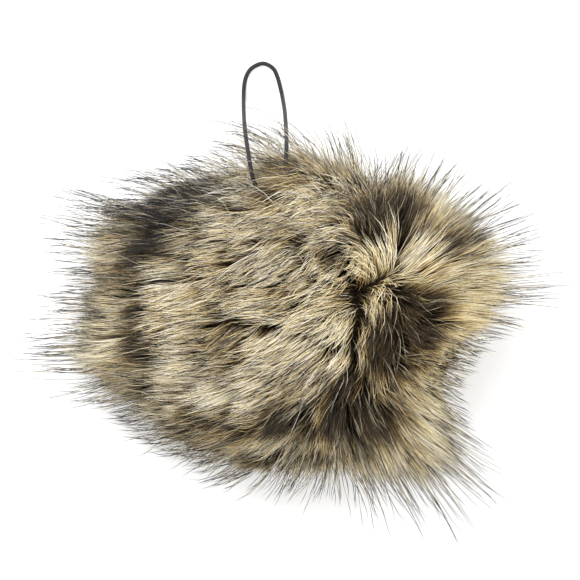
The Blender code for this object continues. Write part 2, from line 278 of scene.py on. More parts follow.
# Where the pile is golden rather than grey, seen from above
GOLD_PLACES = (
    # name, x, y, radius, share of golden strands added
    ("right side", 0.0420, -0.0060, 0.0280, 0.70),
    ("golden tuft", 0.0225, 0.0130, 0.0070, 0.80),
    ("bottom gold", 0.0083, -0.0430, 0.0050, 0.50),
    ("bottom left", -0.0220, -0.0350, 0.0110, 0.20),
    ("left lower", -0.0500, -0.0050, 0.0080, 0.30),
    ("top middle", 0.0000, 0.0400, 0.0090, 0.15),
    ("top right", 0.0360, 0.0330, 0.0080, 0.10),
    ("left shoulder", -0.0420, 0.0330, 0.0130, -0.30),
    ("light streaks", 0.0143, 0.0250, 0.0060, -0.15),
)
GOLD_SHARE = 0.42
GOLD_MOTTLE = 0.25
GOLD_LAYER = 7.0

# Where many strands end in black, seen from above
SABLE_PLACES = (
    # name, x, y, radius, share of black-tipped strands added
    ("shoulder", -0.0350, 0.0340, 0.0120, 0.68),
    ("shoulder end", -0.0530, 0.0290, 0.0090, 0.25),
    ("left dark", -0.0380, 0.0225, 0.0065, 0.45),
    ("fan streaks", 0.0520, 0.0245, 0.0075, 0.40),
    ("left rim", -0.0570, 0.0073, 0.0110, 0.20),
    ("left low rim", -0.0630, -0.0110, 0.0120, 0.25),
    ("left gold", -0.0500, -0.0040, 0.0050, -0.25),
    ("bottom right rim", 0.0500, -0.0430, 0.0110, 0.45),
    ("golden fan", 0.0400, 0.0140, 0.0090, -0.20),
    ("golden tuft", 0.0239, 0.0140, 0.0060, -0.20),
    ("right cream", 0.0500, -0.0010, 0.0070, -0.20),
    ("bottom gold", 0.0083, -0.0426, 0.0045, -0.20),
    ("streaks", 0.0100, 0.0280, 0.0080, 0.12),
    ("front knots", -0.0050, -0.0310, 0.0090, 0.15),
)
SABLE_SHARE = 0.08
SABLE_AT_RIM = 0.30
SABLE_MOTTLE = 0.20
SABLE_LAYER = 19.0
SABLE_BY_TUFT = 0.5  # how far whole tufts are black-tipped, rather than strands here and there
SABLE_RIM_BAND = (1.10, 1.50)  # shares of the backing's plan

# How far the dense pile stands out past the backing, seen from above
RIM_REACH = (
    # bearing in degrees from +X, reach
    (0.0, 0.0085),
    (8.0, 0.0130),
    (20.0, 0.0150),
    (31.0, 0.0118),
    (40.0, 0.0095),
    (49.0, 0.0088),
    (57.0, 0.0022),
    (64.0, 0.0050),
    (72.0, 0.0050),
    (80.0, 0.0100),
    (90.0, 0.0090),
    (97.0, 0.0060),
    (106.0, 0.0042),
    (113.0, 0.0042),
    (121.0, 0.0035),
    (129.0, 0.0082),
    (138.0, 0.0102),
    (147.0, 0.0138),
    (160.0, 0.0122),
    (169.0, 0.0070),
    (177.0, 0.0098),
    (185.0, 0.0110),
    (193.0, 0.0158),
    (201.0, 0.0102),
    (209.0, 0.0038),
    (217.0, 0.0038),
    (226.0, 0.0048),
    (240.0, 0.0022),
    (256.0, 0.0045),
    (268.0, 0.0032),
    (282.0, 0.0034),
    (290.0, 0.0045),
    (298.0, 0.0088),
    (306.0, 0.0105),
    (313.0, 0.0140),
    (320.0, 0.0165),
    (327.0, 0.0100),
    (336.0, 0.0012),
    (344.0, 0.0005),
    (352.0, 0.0022),
    (360.0, 0.0085),
)
FULL_REACH = 0.0115  # the rim's reach at which the pile has its full length
TOP_REACH = 0.85
UNDER_REACH = 0.30
UNDER_BAND = (0.004, 0.024)
TOP_BAND = (0.038, 0.058)
LEAST_COVER = 0.25
COVER_BAND = (0.0005, 0.012)

# Shorter pile in the hollows, and longer pile over the ends of the loop, seen from above
SHORT_PLACES = (
    # name, x, y, radius, share lost
    ("cleft", 0.0218, 0.0275, 0.0040, 0.30),
    ("valley", 0.0300, 0.0040, 0.0050, 0.45),
    ("valley foot", 0.0268, -0.0070, 0.0045, 0.35),
    ("crease", 0.0090, -0.0226, 0.0050, 0.35),
    ("bottom knot", 0.0005, -0.0333, 0.0040, 0.30),
    ("loop cover", 0.0035, 0.0370, 0.0055, -0.35),
    ("top notch", 0.0225, 0.0335, 0.0055, 0.45),
    ("right notch", 0.0400, -0.0150, 0.0085, 0.48),
)

# What each layer of pile is told through the node tree's inputs. The length is the one at full
# reach, and the longest strand and the rim's pile have shares of it. Evenness is how little the
# rim's reach changes it.
PILE_INPUTS = (
    # name, kind
    ("Seed", "Int"),
    ("Strands", "Float"),
    ("Length", "Float"),
    ("Rim share", "Float"),
    ("Evenness", "Float"),
    ("Longest", "Float"),
    ("Width", "Float"),
    ("Segments", "Int"),
    ("Root rise", "Float"),
    ("Tip rise", "Float"),
    ("Stray", "Float"),
    ("Clumping", "Float"),
    ("Black-tipped", "Float"),
)
PILES = (
    # name, finish, values of the inputs
    ("underfur", "under", (3, 13500, 0.0150, 0.72, 0.0, 1.10, 0.00024, 2, 1.20, 0.75, 0.28, 0.25, -1.0)),
    ("coat_first", "coat", (17, 13200, 0.0190, 0.58, 0.0, 1.12, 0.00017, 3, 1.10, 0.42, 0.22, 0.32, -0.15)),
    ("coat_second", "coat", (29, 13200, 0.0195, 0.62, 0.0, 1.12, 0.00016, 3, 1.10, 0.42, 0.23, 0.30, 0.00)),
    ("coat_third", "coat", (37, 13200, 0.0200, 0.64, 0.0, 1.15, 0.00015, 3, 1.05, 0.42, 0.25, 0.26, 0.00)),
    ("coat_fourth", "coat", (43, 13200, 0.0210, 0.68, 0.1, 1.22, 0.00015, 3, 1.05, 0.40, 0.30, 0.22, 0.12)),
    ("guard_hairs", "guard", (71, 3400, 0.0250, 1.12, 0.25, 1.42, 0.00022, 5, 1.00, 0.34, 0.32, 0.22, 0.55)),
    ("strays", "stray", (89, 1500, 0.0230, 0.80, 0.5, 1.30, 0.00014, 5, 1.00, 0.60, 0.75, 0.00, -1.0)),
)

# How strands draw together into locks and tufts, and how they bend and wave
LOCK_SPACING = 0.0065
LOCK_WANDER = 0.42
LOCK_PULL = 0.30  # how far a lock's strands draw towards its middle
TUFT_SPACING = 0.0016
TUFT_WANDER = 0.24  # how far a tuft's comb strays
GUIDE_LENGTHS = (0.80, 1.15)  # a tuft's or lock's length, as shares of the pile's
GUIDE_RISES = (0.75, 1.30)  # and its rise
DRAWN_BAND = (0.05, 0.95)  # shares of a strand over which it draws together with others
START_LAY = 0.30  # how far a strand lies over at its root already
DROOP = 0.10
WAVE = 0.0014
WAVE_SIZE = 0.012
FRIZZ = 0.0005
FRIZZ_SIZE = 0.0028
WAVE_APART = 0.004  # how differently neighbouring strands wave
FRIZZ_APART = 0.010
SHORTEST = 0.74  # most strands are nearer this share of the length than the longest one
TONE_BY_TUFT = 0.16
TONE_BY_STRAND = 0.36
DARK_SHARE = 0.16
DARK_DROP = 0.22
LIGHTNESS_LIMITS = (0.02, 0.98)
FAMILIES = 3.0  # grey, golden and black-tipped strands
MAP_STRAND_WIDTH = 0.0014
MAP_SKEW = 0.6
MAP_MARGIN = 0.02
FLOOR_CLEAR = 0.0002
FLOOR_SOFTNESS = 0.002
PRESSED_WIDTH = (0.0008, 0.0028)  # how far the loop's left leg presses the pile down beside it
PRESSED_DEPTH = 0.0009
PRESSING_POINTS = 11

# Seeds of the random draws
SEEDS = {
    "length": 5,
    "tone": 6,
    "stray": 7,
    "dark": 10,
    "gold": 11,
    "tuft tone": 12,
    "sable": 13,
    "tuft sable": 14,
    "tuft": 101,
    "lock": 201,
}

# Elastic loop, along the same route as its solid
ELASTIC_DIAMETER = 0.0011
ELASTIC_POINTS = 97
LOOP_ROUTE = (
    # x, y, z
    (-0.0083, 0.0327, 0.0391),
    (-0.0098, 0.0370, 0.0414),
    (-0.0107, 0.0421, 0.0388),
    (-0.0114, 0.0465, 0.0315),
    (-0.0119, 0.0505, 0.0215),
    (-0.0122, 0.0543, 0.0110),
    (-0.0123, 0.0580, 0.0032),
    (-0.0122, 0.0612, 0.0008),
    (-0.0116, 0.0640, 0.00056),
    (-0.0101, 0.0662, 0.00056),
    (-0.0072, 0.0674, 0.00056),
    (-0.0046, 0.0662, 0.00056),
    (-0.0034, 0.0640, 0.00056),
    (-0.0026, 0.0611, 0.0008),
    (-0.0020, 0.0582, 0.0034),
    (-0.0014, 0.0545, 0.0112),
    (-0.0011, 0.0505, 0.0217),
    (-0.0009, 0.0464, 0.0315),
    (-0.0010, 0.0420, 0.0386),
    (-0.0014, 0.0372, 0.0409),
    (-0.0026, 0.0330, 0.0391),
)

# Colours, linear
# The dark stops near the root are partly the pile's own dark roots and partly painted shade, which stands
# for the shadow deep in the pile.
PILE_BANDS = {
    # kind: stops of (place along the strand, shifted by its lightness; grey colour, golden colour)
    "under": (
        (0.00, (0.018, 0.015, 0.012), (0.026, 0.019, 0.011)),
        (0.30, (0.055, 0.044, 0.030), (0.078, 0.052, 0.025)),
        (0.52, (0.170, 0.138, 0.092), (0.220, 0.152, 0.070)),
        (0.72, (0.440, 0.378, 0.270), (0.560, 0.425, 0.210)),
        (1.00, (0.800, 0.760, 0.650), (0.860, 0.760, 0.500)),
    ),
    "coat": (
        (0.00, (0.018, 0.015, 0.011), (0.028, 0.020, 0.011)),
        (0.28, (0.044, 0.035, 0.022), (0.078, 0.050, 0.022)),
        (0.48, (0.160, 0.124, 0.074), (0.250, 0.165, 0.068)),
        (0.66, (0.440, 0.372, 0.248), (0.600, 0.440, 0.200)),
        (0.82, (0.740, 0.660, 0.490), (0.850, 0.680, 0.350)),
        (1.00, (0.900, 0.845, 0.710), (0.920, 0.810, 0.530)),
    ),
    "guard": (
        (0.00, (0.011, 0.011, 0.010), (0.012, 0.011, 0.009)),
        (0.32, (0.045, 0.038, 0.029), (0.060, 0.046, 0.027)),
        (0.56, (0.290, 0.245, 0.170), (0.380, 0.290, 0.150)),
        (0.80, (0.620, 0.560, 0.430), (0.700, 0.580, 0.350)),
        (1.00, (0.800, 0.750, 0.640), (0.820, 0.720, 0.500)),
    ),
    "stray": (
        (0.00, (0.260, 0.230, 0.175), (0.340, 0.280, 0.170)),
        (1.00, (0.740, 0.710, 0.620), (0.780, 0.700, 0.520)),
    ),
}
BAND_SHIFT = 1.10  # how far a strand's lightness moves its bands
# A black-tipped strand's dark root is likewise partly its own colour and partly painted shade of the deep
# pile; its black tip is its own colour.
SABLE_BANDS = (
    # place along a black-tipped strand, colour
    (0.00, (0.012, 0.011, 0.010)),
    (0.26, (0.045, 0.038, 0.028)),
    (0.40, (0.280, 0.235, 0.160)),
    (0.52, (0.460, 0.405, 0.290)),
    (0.64, (0.060, 0.054, 0.044)),
    (0.73, (0.009, 0.009, 0.010)),
)
SABLE_SHIFT = 0.24
UNSHIFTED_LIGHT = 0.5  # the lightness at which the bands keep their places
BACKING_BROWNS = ((0.020, 0.014, 0.010, 1.0), (0.075, 0.052, 0.033, 1.0))
BLOTCH_SCALE = 70.0
STUBBLE_COLOUR = (0.160, 0.115, 0.070, 1.0)
STUBBLE_SCALE = 1600.0
STUBBLE_BAND = (0.5, 0.75)
ELASTIC_BLACKS = ((0.006, 0.006, 0.007, 1.0), (0.026, 0.026, 0.028, 1.0))
KNIT_SCALE = 2600.0
FLOOR_SIZE = 1.5
FLOOR_COLOUR = (0.95, 0.95, 0.95, 1.0)
SKY_STRENGTH = 1.05
LIGHT_AIM = (0.0, 0.0, 0.03)
LIGHTS = (
    # name, place, size, power
    ("key", (-0.25, 0.35, 0.75), 0.50, 7.0),
    ("fill", (0.55, -0.25, 0.60), 0.60, 3.0),
)
KEPT_LAYERS = ("OFBake", "sharp_face")


class Wire:
    """A socket in a node tree. Sums and products with it add the nodes that work them out."""

    def __init__(self, graph, socket):
        self.graph = graph
        self.socket = socket

    @property
    def is_vector(self):
        return self.socket.type in ("VECTOR", "RGBA")

    def combine(self, operation, other, swapped=False):
        other_is_vector = isinstance(other, tuple) or getattr(other, "is_vector", False)
        pair = (other, self) if swapped else (self, other)
        if not (self.is_vector or other_is_vector):
            return self.graph.math(operation, *pair)
        if operation == "MULTIPLY" and not (self.is_vector and other_is_vector):
            directed, number = (self, other) if self.is_vector else (other, self)
            return self.graph.vector("SCALE", directed, scale=number)
        return self.graph.vector(operation, *pair)

    def __add__(self, other):
        return self.combine("ADD", other)

    def __sub__(self, other):
        return self.combine("SUBTRACT", other)

    def __rsub__(self, other):
        return self.combine("SUBTRACT", other, swapped=True)

    def __mul__(self, other):
        return self.combine("MULTIPLY", other)

    def __truediv__(self, other):
        return self.combine("DIVIDE", other)


class Graph:
    """Builds one node tree."""

    def __init__(self, tree):
        self.tree = tree

    def node(self, kind, settings=None, **inputs):
        """A node of a kind. Its settings are made first, then its sockets get values or links.
        A socket is named by its identifier, with _ for a space."""
        made = self.tree.nodes.new(kind)
        for name, value in (settings or {}).items():
            setattr(made, name, value)
        for name, value in inputs.items():
            socket = self.find(made.inputs, name)
            if isinstance(value, Wire):
                self.tree.links.new(value.socket, socket)
            else:
                socket.default_value = value
        return made

    @staticmethod
    def find(sockets, name):
        for socket in sockets:
            if socket.identifier.replace(" ", "_") == name:
                return socket
        raise KeyError(name)

    def out(self, made, name=None):
        if name is None:
            return Wire(self, next(s for s in made.outputs if s.enabled))
        return Wire(self, self.find(made.outputs, name))

    def math(self, operation, *values):
        inputs = dict(zip(("Value", "Value_001", "Value_002"), values))
        return self.out(self.node("ShaderNodeMath", {"operation": operation}, **inputs))

    def vector(self, operation, *values, scale=None):
        inputs = dict(zip(("Vector", "Vector_001"), values))
        if scale is not None:
            inputs["Scale"] = scale
        made = self.node("ShaderNodeVectorMath", {"operation": operation}, **inputs)
        return self.out(made, "Value" if operation == "LENGTH" else "Vector")

    def smooth(self, value, low, high):
        """0 below low, 1 above high and a soft step between."""
        settings = {"interpolation_type": "SMOOTHSTEP"}
        made = self.node("ShaderNodeMapRange", settings, Value=value, From_Min=low, From_Max=high)
        return self.out(made, "Result")

    def mix(self, a, b, share):
        """A mix of two numbers, or of two vectors."""
        if a.is_vector:
            made = self.node(
                "ShaderNodeMix",
                {"data_type": "VECTOR"},
                Factor_Float=share,
                A_Vector=a,
                B_Vector=b,
            )
            return self.out(made, "Result_Vector")
        return (b - a) * share + a


def smooth_step(low, high, value):
    share = min(max((value - low) / (high - low), 0.0), 1.0)
    return share * share * (3.0 - 2.0 * share)


def level(angle):
    turned = math.radians(angle)
    return Vector((math.cos(turned), math.sin(turned), 0.0))


def settled(point):
    z = point.z
    if z <= -SETTLING:
        z = 0.0
    elif z < SETTLING:
        z = (z + SETTLING) ** 2 / (4.0 * SETTLING)
    return Vector((point.x, point.y, z))


def nearest_on_parting(point):
    flat = Vector((point.x, point.y, 0.0))
    best = None
    for (x0, y0), (x1, y1) in zip(PARTING, PARTING[1:]):
        start = Vector((x0, y0, 0.0))
        end = Vector((x1, y1, 0.0))
        on_line, share = geometry.intersect_point_line(flat, start, end)
        on_line = start.lerp(end, min(max(share, 0.0), 1.0))
        if best is None or (on_line - flat).length < (best - flat).length:
            best = on_line
    return best


def dent_depth(point):
    away = Vector((point.x, point.y, 0.0)) - nearest_on_parting(point)
    upward = smooth_step(*DENTED_BAND, (point.z - BALL_CENTRE_Z) / (BALL_HEIGHT / 2))
    depth = PARTING_DENT * upward * math.exp(-((away.length / PARTING_WIDTH) ** 2))
    for _name, x, y, z, most, width in HOLLOWS:
        distance = (point - Vector((x, y, z))).length
        depth += most * math.exp(-((distance / width) ** 2))
    return depth


def skin_point(direction):
    """Where the skin lies in a unit direction from the ball's middle, before it settles."""
    half = Vector((BALL_WIDTH, BALL_DEPTH, BALL_HEIGHT)) / 2
    point = Vector((0.0, 0.0, BALL_CENTRE_Z)) + direction * half
    lump = LUMP_HEIGHT * noise.noise(point / LUMP_SIZE)
    return point + direction * (lump - dent_depth(point) - SKIN_DEPTH)


def combed(root):
    """The way in which the pile lies at a root, shorter where it stands up more."""
    outward = Vector((root.x / BALL_WIDTH, root.y / BALL_DEPTH, 0.0)) * 2
    combing = Vector()
    total = 0.0
    for x, y, heading in COMBING:
        distance = math.hypot(root.x - x, root.y - y) / COMBING_BLEND
        weight = math.exp(-(distance**2)) + 1e-6 / (1.0 + distance**2)
        combing += level(heading) * weight
        total += weight
    above = smooth_step(*COMBED_BAND, (root.z - BALL_CENTRE_Z) / BALL_HEIGHT)
    mixed = outward.normalized() * (1.0 - above) + combing * (above / total)
    rim = max(1.0 - above, smooth_step(*RIM_BAND, outward.length))
    lay = max(mixed.length, LEAST_LAY) * (TOP_LAY + (1.0 - TOP_LAY) * rim)
    heading = mixed.normalized()
    side = Vector((-heading.y, heading.x, 0.0))
    return heading * lay - side * (risen(root).dot(side) * SIDE_TURN * above)


def strand_end(root, comb):
    """Where the end of a strand from a root lies."""
    out, along = STRAND_END
    way = risen(root) * out + comb * along
    return root + way * (1.0 - END_NEARER * rim_share(root))


def risen(root):
    """The direction in which a strand leaves the skin, turned level under the ball."""
    half = Vector((BALL_WIDTH, BALL_DEPTH, BALL_HEIGHT)) / 2
    out = root - Vector((0.0, 0.0, BALL_CENTRE_Z))
    out = Vector([out[axis] / half[axis] ** 2 for axis in range(3)]).normalized()
    if out.z < 0.0:
        out.z *= UNDER_RISE
    return out.normalized()


def rim_reach(root):
    """How long the pile is at the rim that a root faces, as a share of its full length."""
    bearing = math.degrees(math.atan2(root.y, root.x)) % 360.0
    for (start, first), (end, last) in zip(RIM_REACH, RIM_REACH[1:]):
        if bearing <= end:
            share = smooth_step(start, end, bearing)
            return (first + (last - first) * share) / FULL_REACH
    return RIM_REACH[-1][1] / FULL_REACH


def pile_reach(root):
    """Length of the pile at a root, as a share of its full length."""
    rim = rim_reach(root)
    reach = rim + (TOP_REACH - rim) * smooth_step(*TOP_BAND, root.z)
    above = upper_share(root)
    for _name, x, y, radius, lost in SHORT_PLACES:
        reach *= 1.0 - lost * above * nearness(root, x, y, radius)
    return UNDER_REACH + (reach - UNDER_REACH) * smooth_step(*UNDER_BAND, root.z)


def rim_share(root):
    """1 at the rim and below it, 0 well up the ball."""
    return 1.0 - smooth_step(BALL_CENTRE_Z, BALL_CENTRE_Z + RIM_HEIGHT * BALL_HEIGHT, root.z)


def upper_share(root):
    """0 under the middle of the ball and 1 above it, with a soft step between."""
    return smooth_step(BALL_CENTRE_Z - MIDDLE_BAND, BALL_CENTRE_Z + MIDDLE_BAND, root.z)


def nearness(spot, x, y, radius):
    """1 at a place and less with the distance from it, seen from above."""
    distance = math.hypot(spot.x - x, spot.y - y) / radius
    return math.exp(-(distance**2))


def with_places(value, places, spot, share=1.0):
    """A value with what the places around a spot add to it."""
    for _name, x, y, radius, added in places:
        value += added * share * nearness(spot, x, y, radius)
    return value


def mottle(spot, layer):
    """Noise of the largest mottles' size. Each layer is a pattern of its own."""
    return noise.noise(spot / MOTTLES[0][0] + Vector((0.0, 0.0, layer)))


def lightness(root, comb):
    """How light the strands from a root are, by the patch in which their ends lie."""
    end = strand_end(root, comb)
    light = MEAN_LIGHTNESS
    for size, strength in MOTTLES:
        light += strength * noise.noise(end / size)
    return with_places(light, PATCHES, end, upper_share(root))


def goldness(root, comb):
    """The share of golden strands at a root."""
    end = strand_end(root, comb)
    share = GOLD_SHARE + GOLD_MOTTLE * mottle(end, GOLD_LAYER)
    return with_places(share, GOLD_PLACES, end)


def sable_share(root, comb):
    """The share of black-tipped strands at a root."""
    end = strand_end(root, comb)
    plan = math.hypot(end.x / BALL_WIDTH, end.y / BALL_DEPTH) * 2
    share = SABLE_SHARE + SABLE_AT_RIM * smooth_step(*SABLE_RIM_BAND, plan)
    share += SABLE_MOTTLE * mottle(end, SABLE_LAYER)
    return with_places(share, SABLE_PLACES, end)


def strand_cover(root):
    """How densely the pile grows: sparser where the ball rests."""
    return LEAST_COVER + (1.0 - LEAST_COVER) * smooth_step(*COVER_BAND, root.z)


def placed(name, data):
    """A new object in the scene."""
    made = bpy.data.objects.new(name, data)
    bpy.context.collection.objects.link(made)
    return made


def skin_mesh():
    """The skin of the ball, with the lie of its pile in attributes of its points."""
    mesh = bmesh.new()
    bmesh.ops.create_icosphere(mesh, subdivisions=SKIN_SUBDIVISIONS, radius=1.0)
    for vert in mesh.verts:
        vert.co = settled(skin_point(vert.co.normalized()))
    data = bpy.data.meshes.new("skin")
    mesh.to_mesh(data)
    mesh.free()
    data.shade_smooth()
    roots = [vert.co for vert in data.vertices]
    combs = [combed(root) for root in roots]
    for name, column in (("comb", combs), ("rise", [risen(root) for root in roots])):
        layer = data.attributes.new(name, "FLOAT_VECTOR", "POINT")
        layer.data.foreach_set("vector", [value for vector in column for value in vector])
    for name, column in (
        ("reach", [pile_reach(root) for root in roots]),
        ("light", [lightness(*pair) for pair in zip(roots, combs)]),
        ("gold", [goldness(*pair) for pair in zip(roots, combs)]),
        ("sable", [sable_share(*pair) for pair in zip(roots, combs)]),
        ("rim", [rim_share(root) for root in roots]),
        ("cover", [strand_cover(root) for root in roots]),
    ):
        layer = data.attributes.new(name, "FLOAT", "POINT")
        layer.data.foreach_set("value", column)
    return data


def named(graph, name, kind="FLOAT"):
    made = graph.node("GeometryNodeInputNamedAttribute", {"data_type": kind}, Name=name)
    return graph.out(made, "Attribute")


def stored(graph, shape, name, value, kind="FLOAT", domain="POINT"):
    made = graph.node(
        "GeometryNodeStoreNamedAttribute",
        {"data_type": kind, "domain": domain},
        Geometry=shape,
        Name=name,
        Value=value,
    )
    return graph.out(made, "Geometry")


def chance(graph, number, low=0.0, high=1.0, of=None):
    """A random value for each strand, or for each of what the index names."""
    inputs = {"Min_001": low, "Max_001": high, "Seed": number}
    if of is not None:
        inputs["ID"] = of
    made = graph.node("FunctionNodeRandomValue", {"data_type": "FLOAT"}, **inputs)
    return graph.out(made, "Value_001")


def sampled(graph, shape, value, index, kind):
    made = graph.node(
        "GeometryNodeSampleIndex",
        {"data_type": kind, "domain": "POINT"},
        Geometry=shape,
        Value=value,
        Index=index,
    )
    return graph.out(made, "Value")


def wander(graph, number, most):
    """A random step of up to so much each way."""
    made = graph.node(
        "ShaderNodeCombineXYZ",
        X=chance(graph, number, -most, most),
        Y=chance(graph, number + 1, -most, most),
        Z=chance(graph, number + 2, -most, most),
    )
    return graph.out(made)


def guides(graph, skin, spacing, most, seed):
    """Points on the skin, about so far apart, each the middle of one lock or tuft."""
    made = graph.node(
        "GeometryNodeDistributePointsOnFaces",
        {"distribute_method": "RANDOM"},
        Mesh=skin,
        Density=1.0 / spacing**2,
        Seed=seed,
    )
    points = graph.out(made, "Points")
    span = named(graph, "span") * chance(graph, seed, *GUIDE_LENGTHS)
    rise = named(graph, "rise", "FLOAT_VECTOR") * chance(graph, seed + 1, *GUIDE_RISES)
    comb = named(graph, "comb", "FLOAT_VECTOR") + wander(graph, seed + 2, most)
    points = stored(graph, points, "span", span)
    points = stored(graph, points, "rise", rise, "FLOAT_VECTOR")
    return stored(graph, points, "comb", comb, "FLOAT_VECTOR")


def bent_line(graph, root, rise, comb, length, along, root_rise, tip_rise):
    """The point a share along a strand, and the way that the strand runs there."""
    risen_by = along * root_rise + along * along * ((tip_rise - root_rise) * 0.5)
    laid_by = along * START_LAY + along * along * ((1.0 - START_LAY) * 0.5)
    whole_rise = (root_rise + tip_rise) * 0.5
    whole = graph.vector("LENGTH", rise * whole_rise + comb * ((1.0 + START_LAY) * 0.5))
    reach = length / whole
    drooped = graph.vector("SCALE", (0.0, 0.0, -1.0), scale=along * along * (DROOP * 0.5))
    point = root + (rise * risen_by + comb * laid_by + drooped) * reach
    way = rise * (root_rise + along * (tip_rise - root_rise)) + comb * (
        along * (1.0 - START_LAY) + START_LAY
    )
    return point, way


def pile_tree():
    """Geometry nodes that grow the pile: closed three-sided strands that taper to a point, rise
    from the skin, lie over along the comb and draw together into tufts and locks."""
    tree = bpy.data.node_groups.new("pile", "GeometryNodeTree")
    others = (("Skin", "Geometry"), ("Pressing line", "Object"), ("Material", "Material"))
    for name, kind in (*others, *PILE_INPUTS):
        tree.interface.new_socket(name, in_out="INPUT", socket_type=f"NodeSocket{kind}")
    tree.interface.new_socket("Pile", in_out="OUTPUT", socket_type="NodeSocketGeometry")
    graph = Graph(tree)
    entry = tree.nodes.new("NodeGroupInput")
    given = {socket.name: Wire(graph, socket) for socket in entry.outputs if socket.name}
    shorter = named(graph, "rim") * (given["Rim share"] - 1.0) + 1.0
    evened = graph.mix(named(graph, "reach"), 1.0, given["Evenness"])
    span = evened * shorter * given["Length"]
    skin = stored(graph, given["Skin"], "span", span)

    # One point for each strand, denser where the pile shows
    made = graph.node(
        "GeometryNodeDistributePointsOnFaces",
        {"distribute_method": "RANDOM"},
        Mesh=skin,
        Density=given["Strands"] * named(graph, "cover"),
        Seed=given["Seed"],
    )
    roots = graph.out(made, "Points")
    place = graph.out(graph.node("GeometryNodeInputPosition"))
    draw = chance(graph, SEEDS["length"])
    length = named(graph, "span") * (draw * draw * draw * (given["Longest"] - SHORTEST) + SHORTEST)
    part = TONE_BY_STRAND / 2
    light = named(graph, "light") + chance(graph, SEEDS["tone"], -part, part)
    light = light - graph.math("LESS_THAN", chance(graph, SEEDS["dark"]), DARK_SHARE) * DARK_DROP
    roots = stored(graph, roots, "root", place, "FLOAT_VECTOR")
    roots = stored(graph, roots, "length", length)
    roots = stored(graph, roots, "stray", wander(graph, SEEDS["stray"], 1.0), "FLOAT_VECTOR")

    # Each strand learns where the middle of its tuft and of its lock is
    for group, spacing, most in (
        ("tuft", TUFT_SPACING, TUFT_WANDER),
        ("lock", LOCK_SPACING, LOCK_WANDER),
    ):
        middles = guides(graph, skin, spacing, most, SEEDS[group])
        made = graph.node(
            "GeometryNodeSampleNearest", {"domain": "POINT"}, Geometry=middles, Sample_Position=place
        )
        index = graph.out(made)
        for name, kind in (
            ("root", "FLOAT_VECTOR"),
            ("rise", "FLOAT_VECTOR"),
            ("comb", "FLOAT_VECTOR"),
            ("span", "FLOAT"),
        ):
            value = place if name == "root" else named(graph, name, kind)
            found = sampled(graph, middles, value, index, kind)
            roots = stored(graph, roots, f"{group} {name}", found, kind)
        if group == "tuft":
            part = TONE_BY_TUFT / 2
            light = light + chance(graph, SEEDS["tuft tone"], -part, part, of=index)
            by_strand = chance(graph, SEEDS["sable"])
            by_tuft = chance(graph, SEEDS["tuft sable"], of=index)
            sable_draw = graph.mix(by_strand, by_tuft, SABLE_BY_TUFT)
    darkest, lightest = LIGHTNESS_LIMITS
    light = graph.math("MINIMUM", graph.math("MAXIMUM", light, darkest), lightest)
    golden = graph.math("LESS_THAN", chance(graph, SEEDS["gold"]), named(graph, "gold"))
    sable = graph.math("LESS_THAN", sable_draw, named(graph, "sable") + given["Black-tipped"])
    family = graph.math("MAXIMUM", golden, sable * 2.0)
    roots = stored(graph, roots, "column", (light + family) / FAMILIES)

    # A straight unit strand at each root
    made = graph.node(
        "GeometryNodeMeshCone",
        {"fill_type": "NGON"},
        Vertices=3,
        Side_Segments=given["Segments"],
        Radius_Top=0.0,
        Radius_Bottom=1.0,
        Depth=1.0,
    )
    strand = stored(graph, graph.out(made, "Mesh"), "unit", place, "FLOAT_VECTOR")
    made = graph.node("GeometryNodeInstanceOnPoints", Points=roots, Instance=strand)
    made = graph.node("GeometryNodeRealizeInstances", Geometry=graph.out(made))
    strands = graph.out(made)

    # Its points go to where the bent strand has them
    unit = graph.node("ShaderNodeSeparateXYZ", Vector=named(graph, "unit", "FLOAT_VECTOR"))
    across, aside, along = (graph.out(unit, axis) for axis in "XYZ")
    comb = named(graph, "comb", "FLOAT_VECTOR")
    rise = named(graph, "rise", "FLOAT_VECTOR")
    strayed = named(graph, "stray", "FLOAT_VECTOR") * given["Stray"]
    own_root = named(graph, "root", "FLOAT_VECTOR")
    own_length = named(graph, "length")
    shape = (along, given["Root rise"], given["Tip rise"])
    own, way = bent_line(graph, own_root, rise, comb + strayed, own_length, *shape)
    point = own
    for group, pull in (("tuft", given["Clumping"]), ("lock", LOCK_PULL)):
        middle, _way = bent_line(
            graph,
            named(graph, f"{group} root", "FLOAT_VECTOR"),
            named(graph, f"{group} rise", "FLOAT_VECTOR"),
            named(graph, f"{group} comb", "FLOAT_VECTOR"),
            named(graph, f"{group} span"),
            *shape,
        )
        point = graph.mix(point, middle, graph.smooth(along, *DRAWN_BAND) * pull)
    for size, most, apart in ((WAVE_SIZE, WAVE, WAVE_APART), (FRIZZ_SIZE, FRIZZ, FRIZZ_APART)):
        spot = point + named(graph, "stray", "FLOAT_VECTOR") * apart
        made = graph.node("ShaderNodeTexNoise", Vector=spot, Scale=1.0 / size, Detail=0.0)
        shaken = graph.out(made, "Color") - (0.5, 0.5, 0.5)
        point = point + shaken * (along * (2.0 * most))

    # Three corners around the strand's line. The cone's even taper is filled out, so that the
    # strand stays thick until near its tip.
    side = graph.vector("NORMALIZE", graph.vector("CROSS_PRODUCT", comb, (0.0, 0.0, 1.0)))
    top = graph.vector("NORMALIZE", graph.vector("CROSS_PRODUCT", side, way))
    fuller = (along * along + along + 1.0) * (along * along * along + 1.0)
    thick = given["Width"] * 0.5 * fuller
    point = point + (side * across + top * aside) * thick

